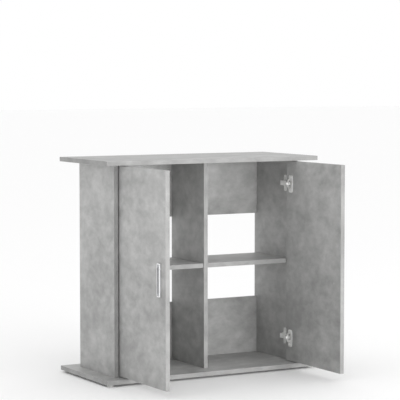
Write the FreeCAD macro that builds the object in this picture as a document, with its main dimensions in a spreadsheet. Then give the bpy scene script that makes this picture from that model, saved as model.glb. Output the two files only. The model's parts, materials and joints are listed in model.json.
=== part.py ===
"""Two-door cabinet that carries an aquarium: flat-pack board carcass on glide feet.

Frame: +X along the width, +Y to the back, +Z up. The origin is on the floor, under the
middle of the top and base panels. Both doors stand open at a right angle to the front.
"""
import FreeCAD, Part
import os
import Sketcher

doc = FreeCAD.newDocument("aquarium_stand")

# ---------------------------------------------------------------- driving dimensions, mm
DIMENSIONS = (
    ("stand_wide", 810, "width of the top and base panels"),
    ("stand_deep", 360, "depth of the top and base panels"),
    ("stand_tall", 737, "floor to tank"),
    ("board", 15, "thickness of every board"),
    ("body_wide", 710, "width over the side panels"),
    ("body_deep", 260, "depth over the side panels"),
    ("shelf_level", 372, "middle of the shelves' thickness"),
    ("shelf_play", 0.5, "gap at each end of a shelf"),
    ("back_tall", 200, "height of each back board"),
    ("divider_setback", 17, "divider behind the side panels' front edge"),
    ("shelf_setback", 20, "shelves behind it, clear of the doors' swinging corners"),
    ("foot_across", 22, "glide foot"),
    ("foot_tall", 7, "glide foot below the base"),
    ("foot_rim", 1, "chamfer of the glide foot"),
    ("foot_peg_across", 5, "peg of the glide foot"),
    ("foot_peg_tall", 9, "peg of the glide foot"),
    ("foot_inset", 19, "foot's middle from the base's edges"),
    ("door_hinge_gap", 3.5, "closed door to side panel"),
    ("door_meet_gap", 3, "between the closed doors"),
    ("door_end_gap", 3, "above and below a door"),
    ("pivot_from_edge", 8, "hinge pin from the door's hinge edge"),
    ("pivot_from_front", 7.5, "hinge pin behind the door's outer face"),
    ("hinge_from_end", 82, "hinge's middle from the top or base panel"),
    ("cup_across", 35, "hinge cup"),
    ("cup_deep", 12, "hinge cup in the door"),
    ("cup_wall", 1.5, "cup's side wall"),
    ("cup_floor", 1.2, "cup's floor and flange"),
    ("cup_from_edge", 20.5, "cup's middle from the hinge edge"),
    ("cup_rim_across", 38, "round part of the flange"),
    ("flange_wide", 25, "flange across the door"),
    ("flange_tall", 60, "flange along the door's edge"),
    ("flange_from_edge", 26.5, "flange's middle, and its screws, from the hinge edge"),
    ("pin_across", 2.5, "hinge pin"),
    ("pin_long", 21.4, "hinge pin"),
    ("pin_play", 0.05, "running clearance round the pin"),
    ("knuckle_across", 4.8, "eye of the hinge arm"),
    ("neck_tall", 8, "hinge arm inside the cup"),
    ("arm_tall", 16, "hinge arm outside the cup"),
    ("arm_thick", 2, "sheet of the hinge arm"),
    ("hook_reach", 13.9, "arm's hook from the pin, along X"),
    ("hook_back", 13, "arm's crossing from the pin, along Y"),
    ("shoulder_back", 8.5, "where the arm widens, from the pin along Y"),
    ("arm_end", 60, "arm's rear end from the pin, along Y"),
    ("cheek_thick", 1.5, "arm's cheeks beside the ridge"),
    ("cheek_start", 4, "cheeks behind the arm's crossing"),
    ("cheek_lift", 4, "cheeks above the side panel"),
    ("adjust_screw_back", 29, "side adjustment screw from the pin, along Y"),
    ("clamp_screw_back", 52, "clamping screw from the pin, along Y"),
    ("arm_web", 11, "arm's web above the side panel"),
    ("plate_thick", 2, "mounting plate's base"),
    ("plate_wing_tall", 57, "mounting plate over its wings"),
    ("plate_wing_wide", 18, "mounting plate's wings"),
    ("plate_wing_back", 44.5, "wings' middle from the pin, along Y"),
    ("plate_spine_tall", 12, "ridge that the arm sits on"),
    ("plate_spine_start", 24, "ridge from the pin, along Y"),
    ("plate_screw_apart", 32, "mounting plate's screws"),
    ("cup_screw_apart", 48, "cup's screws"),
    ("handle_long", 107, "channel handle"),
    ("handle_wide", 18, "channel handle across the door"),
    ("handle_reach", 6, "channel handle's outer face off the door"),
    ("handle_round", 2, "corners cut off the handle's outer ends"),
    ("handle_holes", 96, "handle's screws"),
    ("handle_from_edge", 40, "handle's middle from the door's free edge"),
    ("groove_long", 86, "finger channel along the handle"),
    ("groove_wide", 9, "finger channel"),
    ("groove_deep", 4, "finger channel"),
    ("fastener_reach", 90, "screws and cams from the middle, along Y"),
    ("dowel_reach", 45, "dowels from the middle, along Y"),
    ("dowel_across", 8, "wood dowel"),
    ("dowel_short", 10, "dowel or cam bolt in a panel's face"),
    ("dowel_deep", 20, "dowel in a board's edge"),
    ("screw_head_across", 10, "carcass screw"),
    ("screw_head_tall", 3, "carcass screw"),
    ("screw_across", 6, "carcass screw"),
    ("screw_long", 50, "carcass screw"),
    ("cam_across", 15, "cam disc"),
    ("cam_deep", 12, "cam disc"),
    ("cam_from_edge", 24, "cam's middle from the board's edge"),
    ("cam_from_corner", 40, "back board's cams from its top and bottom"),
    ("cam_bolt_across", 6, "cam bolt"),
    ("cap_across", 17, "cover cap over a cam"),
    ("cap_thick", 0.6, "cover cap over a cam"),
    ("shelf_pin_across", 5, "shelf pin"),
    ("shelf_pin_half", 7, "shelf pin in the board, and out of it"),
    ("shelf_pin_inset", 37, "shelf pin from the shelf's front and rear edges"),
    ("hardware_head_across", 8, "heads of the hinge screws"),
    ("hardware_head_tall", 1.2, "heads of the hinge screws"),
    ("hardware_screw_across", 3.5, "hinge screws"),
    ("hardware_screw_long", 10, "hinge screws"),
    ("handle_screw_across", 4, "handle's screws"),
    ("handle_screw_bite", 4.5, "handle's screws in the handle"),
)


def write_sheet():
    sheet = doc.addObject("Spreadsheet::Sheet", "dims")
    for row, (alias, value, meaning) in enumerate(DIMENSIONS, start=1):
        sheet.set(f"A{row}", meaning)
        sheet.set(f"B{row}", str(value))
        sheet.setAlias(f"B{row}", alias)
    doc.recompute()


# ------------------------------------------ places worked out from the driving dimensions
BASE_UNDER = "dims.foot_tall"
FLOOR = "(dims.foot_tall + dims.board)"
CEILING = "(dims.stand_tall - dims.board)"
FRONT = "(-dims.body_deep / 2)"
BACK = "(dims.body_deep / 2)"
BACK_INNER = f"({BACK} - dims.board)"
SIDE_OUTER = "(-dims.body_wide / 2)"
SIDE_INNER = f"({SIDE_OUTER} + dims.board)"
SIDE_MIDDLE = f"({SIDE_OUTER} + dims.board / 2)"
DIVIDER_FRONT = f"({FRONT} + dims.divider_setback)"
SHELF_FRONT = f"({FRONT} + dims.shelf_setback)"
DIVIDER_HALF = "(dims.board / 2)"
SHELF_UNDER = "(dims.shelf_level - dims.board / 2)"
LOWER_BACK_TOP = f"({FLOOR} + dims.back_tall)"
UPPER_BACK_UNDER = f"({CEILING} - dims.back_tall)"

# the left door's pivot, and the left door as it stands open
PIVOT_X = f"({SIDE_INNER} + dims.door_hinge_gap + dims.pivot_from_edge)"
PIVOT_Y = f"({FRONT} + dims.pivot_from_front)"
DOOR_WIDE = f"(-{SIDE_INNER} - dims.door_hinge_gap - dims.door_meet_gap / 2)"
DOOR_OUTER = f"({PIVOT_X} - dims.pivot_from_front)"
DOOR_INNER = f"({DOOR_OUTER} + dims.board)"
DOOR_HINGE_EDGE = f"({PIVOT_Y} + dims.pivot_from_edge)"
DOOR_FREE_EDGE = f"({DOOR_HINGE_EDGE} - {DOOR_WIDE})"
DOOR_UNDER = f"({FLOOR} + dims.door_end_gap)"
DOOR_TOP = f"({CEILING} - dims.door_end_gap)"
CUP_Y = f"({DOOR_HINGE_EDGE} - dims.cup_from_edge)"
FLANGE_FACE = f"({DOOR_INNER} + dims.cup_floor)"
FLANGE_Y = f"({DOOR_HINGE_EDGE} - dims.flange_from_edge)"
HINGE_LEVELS = {
    "lower": f"({FLOOR} + dims.hinge_from_end)",
    "upper": f"({CEILING} - dims.hinge_from_end)",
}
WEB_OUTER = f"({SIDE_INNER} + dims.arm_web + dims.arm_thick)"
WEB_INNER = f"({SIDE_INNER} + dims.arm_web)"
HANDLE_Y = f"({DOOR_FREE_EDGE} + dims.handle_from_edge)"


# ----------------------------------------------------------------------- building blocks
def place(piece, x="0", y="0", z="0"):
    for axis, where in (("x", x), ("y", y), ("z", z)):
        piece.setExpression(".Placement.Base." + axis, where)
    return piece


def block(name, along_x, along_y, along_z):
    """A box given by its low and high coordinate along each axis."""
    piece = doc.addObject("Part::Box", name)
    spans = (along_x, along_y, along_z)
    for size, (low, high) in zip(("Length", "Width", "Height"), spans):
        piece.setExpression(size, f"{high} - {low}")
    return place(piece, along_x[0], along_y[0], along_z[0])


def span(middle, size):
    """Low and high coordinate of a size centred on a middle."""
    return (f"({middle} - {size} / 2)", f"({middle} + {size} / 2)")


DIRECTIONS = {
    "+x": ((0, 1, 0), 90), "-x": ((0, 1, 0), -90),
    "+y": ((1, 0, 0), -90), "-y": ((1, 0, 0), 90),
    "+z": ((0, 0, 1), 0), "-z": ((1, 0, 0), 180),
}


def rod(name, across, length, start, towards):
    """A round bar of a given diameter that leaves start in one of the six directions."""
    piece = doc.addObject("Part::Cylinder", name)
    piece.setExpression("Radius", f"{across} / 2")
    piece.setExpression("Height", length)
    axis, turn = DIRECTIONS[towards]
    piece.Placement = FreeCAD.Placement(
        FreeCAD.Vector(), FreeCAD.Rotation(FreeCAD.Vector(*axis), turn))
    return place(piece, *start)


def joined(name, pieces):
    piece = doc.addObject("Part::MultiFuse", name)
    piece.Shapes = pieces
    return piece


def group(name, pieces):
    """Separate solids that are kept together."""
    piece = doc.addObject("Part::Compound", name)
    piece.Links = pieces
    return piece


def cut(name, base, tool):
    piece = doc.addObject("Part::Cut", name)
    piece.Base = base
    piece.Tool = tool
    return piece


def mirrored(name, source):
    """The right-hand copy of a left-hand piece."""
    piece = doc.addObject("Part::Mirroring", name)
    piece.Source = source
    piece.Normal = FreeCAD.Vector(1, 0, 0)
    return piece


def outline(body, plane, corners):
    """A closed sketch on one of the body's own planes, each corner held by two expressions."""
    sketch = body.newObject("Sketcher::SketchObject", body.Name + "_outline")
    datum = [part for part in body.Origin.OriginFeatures if part.Role == plane][0]
    sketch.AttachmentSupport = [(datum, "")]
    sketch.MapMode = "FlatFace"
    count = len(corners)
    points = [FreeCAD.Vector(rough[0], rough[1], 0) for rough, exact in corners]
    for index in range(count):
        sketch.addGeometry(Part.LineSegment(points[index], points[(index + 1) % count]))
    for index in range(count):
        constraint = Sketcher.Constraint("Coincident", index, 2, (index + 1) % count, 1)
        sketch.addConstraint(constraint)
    for index, (rough, exact) in enumerate(corners):
        for kind, value, expression in zip(("DistanceX", "DistanceY"), rough, exact):
            number = sketch.addConstraint(Sketcher.Constraint(kind, -1, 1, index, 1, value))
            sketch.setExpression(f"Constraints[{number}]", expression)
    return sketch


subparts = []


def subpart(piece, label):
    """Gives a finished piece the name that its file takes."""
    piece.Label = label
    subparts.append(piece)
    return piece


# ------------------------------------------------------------------- fasteners and fittings
def carcass_screw(name, x, y, z, towards):
    """Flush-headed screw: start is the outside of its head."""
    sign = towards[0]
    axis = "xyz".index(towards[1])
    neck = [x, y, z]
    neck[axis] = f"{neck[axis]} {sign} dims.screw_head_tall"
    head = rod(name + "_head", "dims.screw_head_across", "dims.screw_head_tall", (x, y, z), towards)
    shank = rod(name + "_shank", "dims.screw_across", "dims.screw_long - dims.screw_head_tall",
                neck, towards)
    return joined(name, [head, shank])


def upright_fittings():
    """What joins the side panels and the divider to the base and the top."""
    screws, dowels, bolts, cams, caps = [], [], [], [], []
    uprights = (
        ("left", SIDE_MIDDLE, SIDE_INNER, "-x"),
        ("centre", "0", DIVIDER_HALF, "-x"),
        ("right", f"-{SIDE_MIDDLE}", f"-{SIDE_INNER}", "+x"),
    )
    for where, x, face, inwards in uprights:
        outwards = ("+" if inwards[0] == "-" else "-") + "x"
        for end, sign in (("front", "-"), ("rear", "")):
            y = f"{sign}dims.fastener_reach"
            name = f"{where}_{end}"
            screws.append(carcass_screw(name + "_base_screw", x, y, BASE_UNDER, "+z"))
            dowel_y = f"{sign}dims.dowel_reach"
            dowel_long = "dims.dowel_short + dims.dowel_deep"
            for level, foot in (("base", f"{FLOOR} - dims.dowel_short"),
                                ("top", f"{CEILING} - dims.dowel_deep")):
                dowels.append(rod(f"{name}_{level}_dowel", "dims.dowel_across", dowel_long,
                                  (x, dowel_y, foot), "+z"))
            cam_z = f"{CEILING} - dims.cam_from_edge"
            bolt = rod(name + "_cam_bolt", "dims.cam_bolt_across",
                       "dims.cam_from_edge + dims.dowel_short", (x, y, cam_z), "+z")
            bolts.append(bolt)
            disc = rod(name + "_cam_disc", "dims.cam_across", "dims.cam_deep",
                       (face, y, cam_z), inwards)
            cams.append(cut(name + "_cam", disc, bolt))
            caps.append(rod(name + "_cap", "dims.cap_across", "dims.cap_thick",
                            (face, y, cam_z), outwards))
    return screws, dowels, bolts, cams, caps


def back_board_fittings():
    """Cams at both ends of each back board, and screws from behind into the divider."""
    bolts, cams, caps, screws = [], [], [], []
    boards = (
        ("lower", FLOOR, LOWER_BACK_TOP),
        ("upper", UPPER_BACK_UNDER, CEILING),
    )
    y = f"{BACK} - dims.board / 2"
    for board, under, over in boards:
        levels = (("under", f"{under} + dims.cam_from_corner"),
                  ("over", f"{over} - dims.cam_from_corner"))
        for level, z in levels:
            screws.append(carcass_screw(f"{board}_{level}_divider_screw", "0", BACK, z, "-y"))
            for side, sign in (("left", ""), ("right", "-")):
                name = f"{board}_{level}_{side}_back"
                cam_x = f"{sign}({SIDE_INNER} + dims.cam_from_edge)"
                bolt_end = f"{sign}({SIDE_INNER} - dims.dowel_short)"
                bolt = rod(name + "_bolt", "dims.cam_bolt_across",
                           "dims.cam_from_edge + dims.dowel_short", (bolt_end, y, z),
                           "+x" if side == "left" else "-x")
                bolts.append(bolt)
                disc = rod(name + "_disc", "dims.cam_across", "dims.cam_deep",
                           (cam_x, BACK, z), "-y")
                cams.append(cut(name + "_cam", disc, bolt))
                caps.append(rod(name + "_cap", "dims.cap_across", "dims.cap_thick",
                                (cam_x, BACK, z), "+y"))
    return screws, bolts, cams, caps


def shelf_pins():
    """The left shelf's four pins: two in the side panel and two in the divider."""
    pins = []
    z = f"{SHELF_UNDER} - dims.shelf_pin_across / 2"
    rows = (("front", f"{SHELF_FRONT} + dims.shelf_pin_inset"),
            ("rear", f"{BACK_INNER} - dims.shelf_pin_inset"))
    for row, y in rows:
        for holder, x in (("side", f"{SIDE_INNER} - dims.shelf_pin_half"),
                          ("divider", f"-{DIVIDER_HALF} - dims.shelf_pin_half")):
            pins.append(rod(f"{row}_{holder}_pin", "dims.shelf_pin_across",
                            "dims.shelf_pin_half * 2", (x, y, z), "+x"))
    return pins


def foot(name, x, y):
    """A glide foot: a disc with a chamfered tread, and a peg up into the base."""
    body = doc.addObject("PartDesign::Body", name)
    disc = "dims.foot_across / 2"
    peg = "dims.foot_peg_across / 2"
    peg_top = "dims.foot_tall + dims.foot_peg_tall"
    profile = outline(body, "XZ_Plane", (
        ((0, 0), ("0", "0")),
        ((10, 0), (f"{disc} - dims.foot_rim", "0")),
        ((11, 1), (disc, "dims.foot_rim")),
        ((11, 7), (disc, "dims.foot_tall")),
        ((2.5, 7), (peg, "dims.foot_tall")),
        ((2.5, 16), (peg, peg_top)),
        ((0, 16), ("0", peg_top)),
    ))
    turned = body.newObject("PartDesign::Revolution", name + "_turned")
    turned.Profile = profile
    turned.ReferenceAxis = (profile, ["V_Axis"])
    turned.Angle = 360
    return place(body, x, y)


# -------------------------------------------------------------------------- hinges, left side
def hinge_cup(name, level, pin):
    """Pressed cup with its flange, let into the door's inner face."""
    strip = block(name + "_strip", (DOOR_INNER, FLANGE_FACE), span(FLANGE_Y, "dims.flange_wide"),
                  span(level, "dims.flange_tall"))
    rim = rod(name + "_rim", "dims.cup_rim_across", "dims.cup_floor",
              (DOOR_INNER, CUP_Y, level), "+x")
    drum = rod(name + "_drum", "dims.cup_across", "dims.cup_deep", (DOOR_INNER, CUP_Y, level), "-x")
    hollow = rod(name + "_hollow", "(dims.cup_across - 2 * dims.cup_wall)", "dims.cup_deep",
                 (FLANGE_FACE, CUP_Y, level), "-x")
    shell = cut(name + "_shell", joined(name + "_solid", [strip, rim, drum]), hollow)
    return cut(name, shell, pin)


def hinge_pin(name, level):
    foot_z = f"{level} - dims.pin_long / 2"
    return rod(name, "dims.pin_across", "dims.pin_long", (PIVOT_X, PIVOT_Y, foot_z), "+z")


def hinge_arm(name, level):
    """Bent arm: eye on the pin, hook out of the cup, round the door's edge and back."""
    neck = span(level, "dims.neck_tall")
    full = span(level, "dims.arm_tall")
    hook_out = f"({PIVOT_X} + dims.hook_reach)"
    hook_in = f"({hook_out} - dims.arm_thick)"
    crossing = f"({PIVOT_Y} + dims.hook_back)"
    crossing_back = f"({crossing} + dims.arm_thick)"
    rear = f"({PIVOT_Y} + dims.arm_end)"
    shoulder = f"({PIVOT_Y} + dims.shoulder_back)"
    eye = rod(name + "_eye", "dims.knuckle_across", "dims.neck_tall",
              (PIVOT_X, PIVOT_Y, neck[0]), "+z")
    reach = block(name + "_reach", (PIVOT_X, hook_out), span(PIVOT_Y, "dims.arm_thick"), neck)
    riser = block(name + "_riser", (hook_in, hook_out),
                  (f"({PIVOT_Y} - dims.arm_thick / 2)", crossing_back), neck)
    shoulders = block(name + "_shoulders", (hook_in, hook_out), (shoulder, crossing_back), full)
    bridge = block(name + "_bridge", (WEB_INNER, hook_out), (crossing, crossing_back), full)
    web = block(name + "_web", (WEB_INNER, WEB_OUTER), (crossing, rear), full)
    cheek_x = (f"({SIDE_INNER} + dims.cheek_lift)", WEB_INNER)
    cheek_y = (f"({crossing} + dims.cheek_start)", rear)
    low_cheek = block(name + "_low_cheek", cheek_x, cheek_y,
                      (full[0], f"({full[0]} + dims.cheek_thick)"))
    high_cheek = block(name + "_high_cheek", cheek_x, cheek_y,
                       (f"({full[1]} - dims.cheek_thick)", full[1]))
    sheet = joined(name + "_sheet",
                   [eye, reach, riser, shoulders, bridge, web, low_cheek, high_cheek])
    bore = rod(name + "_bore", "(dims.pin_across + 2 * dims.pin_play)", "dims.neck_tall",
               (PIVOT_X, PIVOT_Y, neck[0]), "+z")
    return cut(name + "_bored", sheet, bore)


def hinge_plate(name, level):
    """Cross-shaped mounting plate on the side panel, with the ridge that holds the arm."""
    wing_y = span(f"({PIVOT_Y} + dims.plate_wing_back)", "dims.plate_wing_wide")
    spine_y = (f"({PIVOT_Y} + dims.plate_spine_start)", f"({PIVOT_Y} + dims.arm_end)")
    base_x = (SIDE_INNER, f"({SIDE_INNER} + dims.plate_thick)")
    wings = block(name + "_wings", base_x, wing_y, span(level, "dims.plate_wing_tall"))
    spine = block(name + "_spine", (SIDE_INNER, WEB_INNER), spine_y,
                  span(level, "dims.plate_spine_tall"))
    return joined(name + "_cross", [wings, spine])


def hardware_screw(name, x, y, z, towards):
    """Small pan-head screw: start is the face that its head lies on."""
    back = ("+" if towards[0] == "-" else "-") + towards[1]
    head = rod(name + "_head", "dims.hardware_head_across", "dims.hardware_head_tall",
               (x, y, z), back)
    shank = rod(name + "_shank", "dims.hardware_screw_across", "dims.hardware_screw_long",
                (x, y, z), towards)
    return joined(name, [head, shank])


def pair_levels(level, apart):
    return ((f"({level} - {apart} / 2)", "low"), (f"({level} + {apart} / 2)", "high"))


def plate_screws(name, level):
    middle = f"({PIVOT_Y} + dims.plate_wing_back)"
    face = f"({SIDE_INNER} + dims.plate_thick)"
    return [hardware_screw(f"{name}_{end}_plate_screw", face, middle, z, "-x")
            for z, end in pair_levels(level, "dims.plate_screw_apart")]


def arm_screws(name, level):
    """The clamping screw and the side adjustment screw, through the arm into the ridge."""
    return [hardware_screw(f"{name}_{use}_screw", WEB_OUTER,
                           f"({PIVOT_Y} + dims.{use}_screw_back)", level, "-x")
            for use in ("adjust", "clamp")]


def cup_screws(name, level):
    return [hardware_screw(f"{name}_{end}_cup_screw", FLANGE_FACE, FLANGE_Y, z, "-x")
            for z, end in pair_levels(level, "dims.cup_screw_apart")]


# ------------------------------------------------------------------------ handle, left door
def handle_part(name, screws):
    """Low channel handle: a bar on the door with a finger channel along its outer face."""
    body = doc.addObject("PartDesign::Body", name + "_bar")
    end = "dims.handle_long / 2"
    reach = "dims.handle_reach"
    corner = "dims.handle_round"
    profile = outline(body, "XZ_Plane", (
        ((0, -53.5), ("0", f"-{end}")),
        ((0, 53.5), ("0", end)),
        ((-4, 53.5), (f"-({reach} - {corner})", end)),
        ((-6, 51.5), (f"-{reach}", f"{end} - {corner}")),
        ((-6, -51.5), (f"-{reach}", f"-({end} - {corner})")),
        ((-4, -53.5), (f"-({reach} - {corner})", f"-{end}")),
    ))
    bar = body.newObject("PartDesign::Pad", name + "_bar_pad")
    bar.Profile = profile
    bar.Midplane = True
    bar.setExpression("Length", "dims.handle_wide")
    place(body, DOOR_OUTER, HANDLE_Y, "dims.shelf_level")
    outer_face = f"({DOOR_OUTER} - {reach})"
    groove = block(name + "_groove", (outer_face, f"({outer_face} + dims.groove_deep)"),
                   span(HANDLE_Y, "dims.groove_wide"),
                   span("dims.shelf_level", "dims.groove_long"))
    return cut(name + "_part", body, group(name + "_hollows", [groove, screws]))


def handle_screws():
    """Through the door from inside, heads flush with its inner face."""
    screws = []
    for z, end in pair_levels("dims.shelf_level", "dims.handle_holes"):
        name = f"handle_{end}_screw"
        head = rod(name + "_head", "dims.hardware_head_across", "dims.hardware_head_tall",
                   (DOOR_INNER, HANDLE_Y, z), "-x")
        shank = rod(name + "_shank", "dims.handle_screw_across",
                    "dims.board + dims.handle_screw_bite", (DOOR_INNER, HANDLE_Y, z), "-x")
        screws.append(joined(name, [head, shank]))
    return screws


# ------------------------------------------------------------------------------- assembly
def build_hinges():
    """All four hinges. Returns what is let into the left side panel and the left door."""
    into_side, into_door, all_plate_screws, all_arm_screws = [], [], [], []
    left_cup_screws = []
    for level_name, level in HINGE_LEVELS.items():
        name = f"{level_name}_hinge"
        pin = hinge_pin(f"left_{name}_pin_rod", level)
        cup = hinge_cup(f"left_{name}_cup_part", level, pin)
        arm_fixings = arm_screws(name, level)
        plate_fixings = plate_screws(name, level)
        cup_fixings = cup_screws(name, level)
        arm = cut(f"left_{name}_arm_part", hinge_arm(f"left_{name}_arm", level),
                  group(name + "_arm_holes", arm_fixings))
        plate = cut(f"left_{name}_plate_part", hinge_plate(f"left_{name}_plate", level),
                    group(name + "_plate_holes", plate_fixings + arm_fixings))
        drilled_cup = cut(f"left_{name}_cup_drilled", cup, group(name + "_cup_holes", cup_fixings))
        bore = rod(f"left_{name}_cup_bore", "dims.cup_across", "dims.cup_deep",
                   (DOOR_INNER, CUP_Y, level), "-x")
        for piece, kind in ((pin, "pin"), (drilled_cup, "cup"), (arm, "arm"), (plate, "plate")):
            subpart(piece, f"left_{name}_{kind}")
            subpart(mirrored(f"right_{name}_{kind}_copy", piece), f"right_{name}_{kind}")
        into_side += plate_fixings
        into_door += [bore] + cup_fixings
        all_plate_screws += plate_fixings
        all_arm_screws += arm_fixings
        left_cup_screws += cup_fixings
    for screws, label in ((all_plate_screws, "hinge_plate_screws"),
                          (all_arm_screws, "hinge_arm_screws")):
        left = group(label + "_left", screws)
        subpart(group(label + "_all", [left, mirrored(label + "_right", left)]), label)
    left = subpart(group("left_cup_screws_all", left_cup_screws), "left_cup_screws")
    subpart(mirrored("right_cup_screws_copy", left), "right_cup_screws")
    return into_side, into_door


def build_doors(into_door):
    screws = handle_screws()
    screw_group = group("left_handle_screws_all", screws)
    handle = handle_part("left_handle", screw_group)
    blank = block("left_door_blank", (DOOR_OUTER, DOOR_INNER), (DOOR_FREE_EDGE, DOOR_HINGE_EDGE),
                  (DOOR_UNDER, DOOR_TOP))
    panel = cut("left_door_part", blank, group("left_door_holes", into_door + screws))
    for piece, label in ((panel, "door_panel"), (handle, "handle"), (screw_group, "handle_screws")):
        subpart(piece, "left_" + label)
        subpart(mirrored(f"right_{label}_copy", piece), "right_" + label)


def build_feet():
    feet = []
    edge_x = "(dims.stand_wide / 2 - dims.foot_inset)"
    edge_y = "(dims.stand_deep / 2 - dims.foot_inset)"
    spots = (
        ("front_left", f"-{edge_x}", f"-{edge_y}"), ("front_right", edge_x, f"-{edge_y}"),
        ("rear_left", f"-{edge_x}", edge_y), ("rear_right", edge_x, edge_y), ("centre", "0", "0"),
    )
    for where, x, y in spots:
        feet.append(subpart(foot(f"{where}_glide", x, y), f"{where}_foot"))
    return feet


def build_carcass(into_side, feet):
    screws, dowels, bolts, cams, caps = upright_fittings()
    back_screws, back_bolts, back_cams, back_caps = back_board_fittings()
    pins = shelf_pins()
    left_pins = subpart(group("left_shelf_pins_all", pins), "left_shelf_pins")
    right_pins = subpart(mirrored("right_shelf_pins_copy", left_pins), "right_shelf_pins")
    for pieces, label in ((screws, "base_screws"), (dowels, "wood_dowels"),
                          (bolts + back_bolts, "cam_bolts"), (cams + back_cams, "cam_discs"),
                          (caps + back_caps, "cam_cover_caps"), (back_screws, "divider_screws")):
        subpart(group(label + "_all", pieces), label)

    half_wide = "(dims.stand_wide / 2)"
    half_deep = "(dims.stand_deep / 2)"
    slab = ((f"(-{half_wide})", half_wide), (f"(-{half_deep})", half_deep))
    between_sides = (SIDE_INNER, f"(-{SIDE_INNER})")
    upright = (FLOOR, CEILING)
    near_left = [piece for piece in screws + dowels + bolts + cams if "left" in piece.Name]
    near_centre = [piece for piece in screws + dowels + bolts + cams if "centre" in piece.Name]
    left_back_bolts = [piece for piece in back_bolts if "left" in piece.Name]
    divider_fittings = near_centre + back_screws + [left_pins, right_pins]
    boards = (
        ("base_panel", (*slab, (BASE_UNDER, FLOOR)), screws + dowels + feet),
        ("top_panel", (*slab, (CEILING, "dims.stand_tall")), dowels + bolts),
        ("left_side_panel", ((SIDE_OUTER, SIDE_INNER), (FRONT, BACK), upright),
         near_left + left_back_bolts + into_side + [left_pins]),
        ("centre_divider", ((f"(-{DIVIDER_HALF})", DIVIDER_HALF), (DIVIDER_FRONT, BACK_INNER), upright),
         divider_fittings),
        ("lower_back_board", (between_sides, (BACK_INNER, BACK), (FLOOR, LOWER_BACK_TOP)),
         back_bolts + back_cams + back_screws),
        ("upper_back_board", (between_sides, (BACK_INNER, BACK), (UPPER_BACK_UNDER, CEILING)),
         back_bolts + back_cams + back_screws),
    )
    for label, spans, fittings in boards:
        blank = block(label + "_blank", *spans)
        piece = cut(label + "_bored", blank, group(label + "_holes", fittings))
        subpart(piece, label)
        if label == "left_side_panel":
            subpart(mirrored("right_side_panel_copy", piece), "right_side_panel")

    shelf = block("left_shelf_board",
                  (f"({SIDE_INNER} + dims.shelf_play)", f"(-{DIVIDER_HALF} - dims.shelf_play)"),
                  (SHELF_FRONT, BACK_INNER), (SHELF_UNDER, f"({SHELF_UNDER} + dims.board)"))
    subpart(shelf, "left_shelf")
    subpart(mirrored("right_shelf_copy", shelf), "right_shelf")


# --------------------------------------------------------------------------- check and write
def check():
    doc.recompute()
    for piece in doc.Objects:
        if "Invalid" in piece.State or "Error" in piece.State:
            raise RuntimeError(f"{piece.Label} failed: {piece.State}")
    for piece in subparts:
        if piece.Shape.isNull() or not piece.Shape.isValid() or not piece.Shape.Solids:
            raise RuntimeError(f"{piece.Label} has no valid solid")


def write_files():
    os.makedirs("parts", exist_ok=True)
    for piece in subparts:
        piece.Shape.exportStep(f"parts/{piece.Label}.step")
        box = piece.Shape.BoundBox
        print(f"{piece.Label:26s} {len(piece.Shape.Solids):3d} solids"
              f"  X {box.XMin:8.2f} {box.XMax:8.2f}"
              f"  Y {box.YMin:8.2f} {box.YMax:8.2f}  Z {box.ZMin:8.2f} {box.ZMax:8.2f}")
    print(len(subparts), "sub-parts")


write_sheet()
into_side, into_door = build_hinges()
build_doors(into_door)
build_carcass(into_side, build_feet())
check()
write_files()
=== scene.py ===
import json
import math

import bmesh
import bpy
from mathutils import Matrix, Vector


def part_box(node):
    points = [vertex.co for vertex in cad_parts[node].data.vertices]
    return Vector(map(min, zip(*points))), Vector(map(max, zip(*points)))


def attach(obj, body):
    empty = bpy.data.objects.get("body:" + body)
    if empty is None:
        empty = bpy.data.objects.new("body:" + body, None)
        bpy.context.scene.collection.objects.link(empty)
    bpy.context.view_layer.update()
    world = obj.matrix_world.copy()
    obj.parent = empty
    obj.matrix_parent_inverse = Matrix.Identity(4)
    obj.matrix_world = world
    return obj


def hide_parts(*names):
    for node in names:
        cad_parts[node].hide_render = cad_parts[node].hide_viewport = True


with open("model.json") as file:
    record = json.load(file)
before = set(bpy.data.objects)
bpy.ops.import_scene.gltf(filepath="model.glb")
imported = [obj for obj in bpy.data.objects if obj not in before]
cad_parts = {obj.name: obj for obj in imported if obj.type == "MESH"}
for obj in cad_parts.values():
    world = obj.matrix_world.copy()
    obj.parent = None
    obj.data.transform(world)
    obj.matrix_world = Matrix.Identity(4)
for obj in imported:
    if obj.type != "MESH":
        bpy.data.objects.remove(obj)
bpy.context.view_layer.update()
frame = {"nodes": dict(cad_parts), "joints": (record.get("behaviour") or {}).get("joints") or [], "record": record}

MM = 0.001
SIDES = ("left", "right")
LEVELS = ("lower", "upper")
BACK_DIRECTION = Vector((0, 1, 0))
FRONT_DIRECTION = Vector((0, -1, 0))
UP = Vector((0, 0, 1))
DOWN = Vector((0, 0, -1))


# ------------------------------------------------------------------ materials
def linear(hex_colour):
    """An sRGB hex colour as the linear colour that shaders take."""
    channels = [int(hex_colour[start:start + 2], 16) / 255 for start in (1, 3, 5)]
    straight = [c / 12.92 if c <= 0.04045 else ((c + 0.055) / 1.055) ** 2.4 for c in channels]
    return (*straight, 1.0)


def add(tree, kind, inputs=None, stops=(), **settings):
    """Adds a node with its settings. An input is a value or another node's socket. The stops of
    a colour ramp are positions and hex colours, in rising order."""
    node = tree.nodes.new(kind)
    for name, value in settings.items():
        setattr(node, name, value)
    for name, value in (inputs or {}).items():
        if isinstance(value, bpy.types.NodeSocket):
            tree.links.new(value, node.inputs[name])
        else:
            node.inputs[name].default_value = value
    for index, (position, colour) in enumerate(stops):
        if index == len(node.color_ramp.elements):
            node.color_ramp.elements.new(position)
        node.color_ramp.elements[index].position = position
        node.color_ramp.elements[index].color = linear(colour)
    return node


def per_metre(size_mm):
    """The texture scale that gives features of a real size."""
    return 1 / (size_mm * MM)


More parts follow.
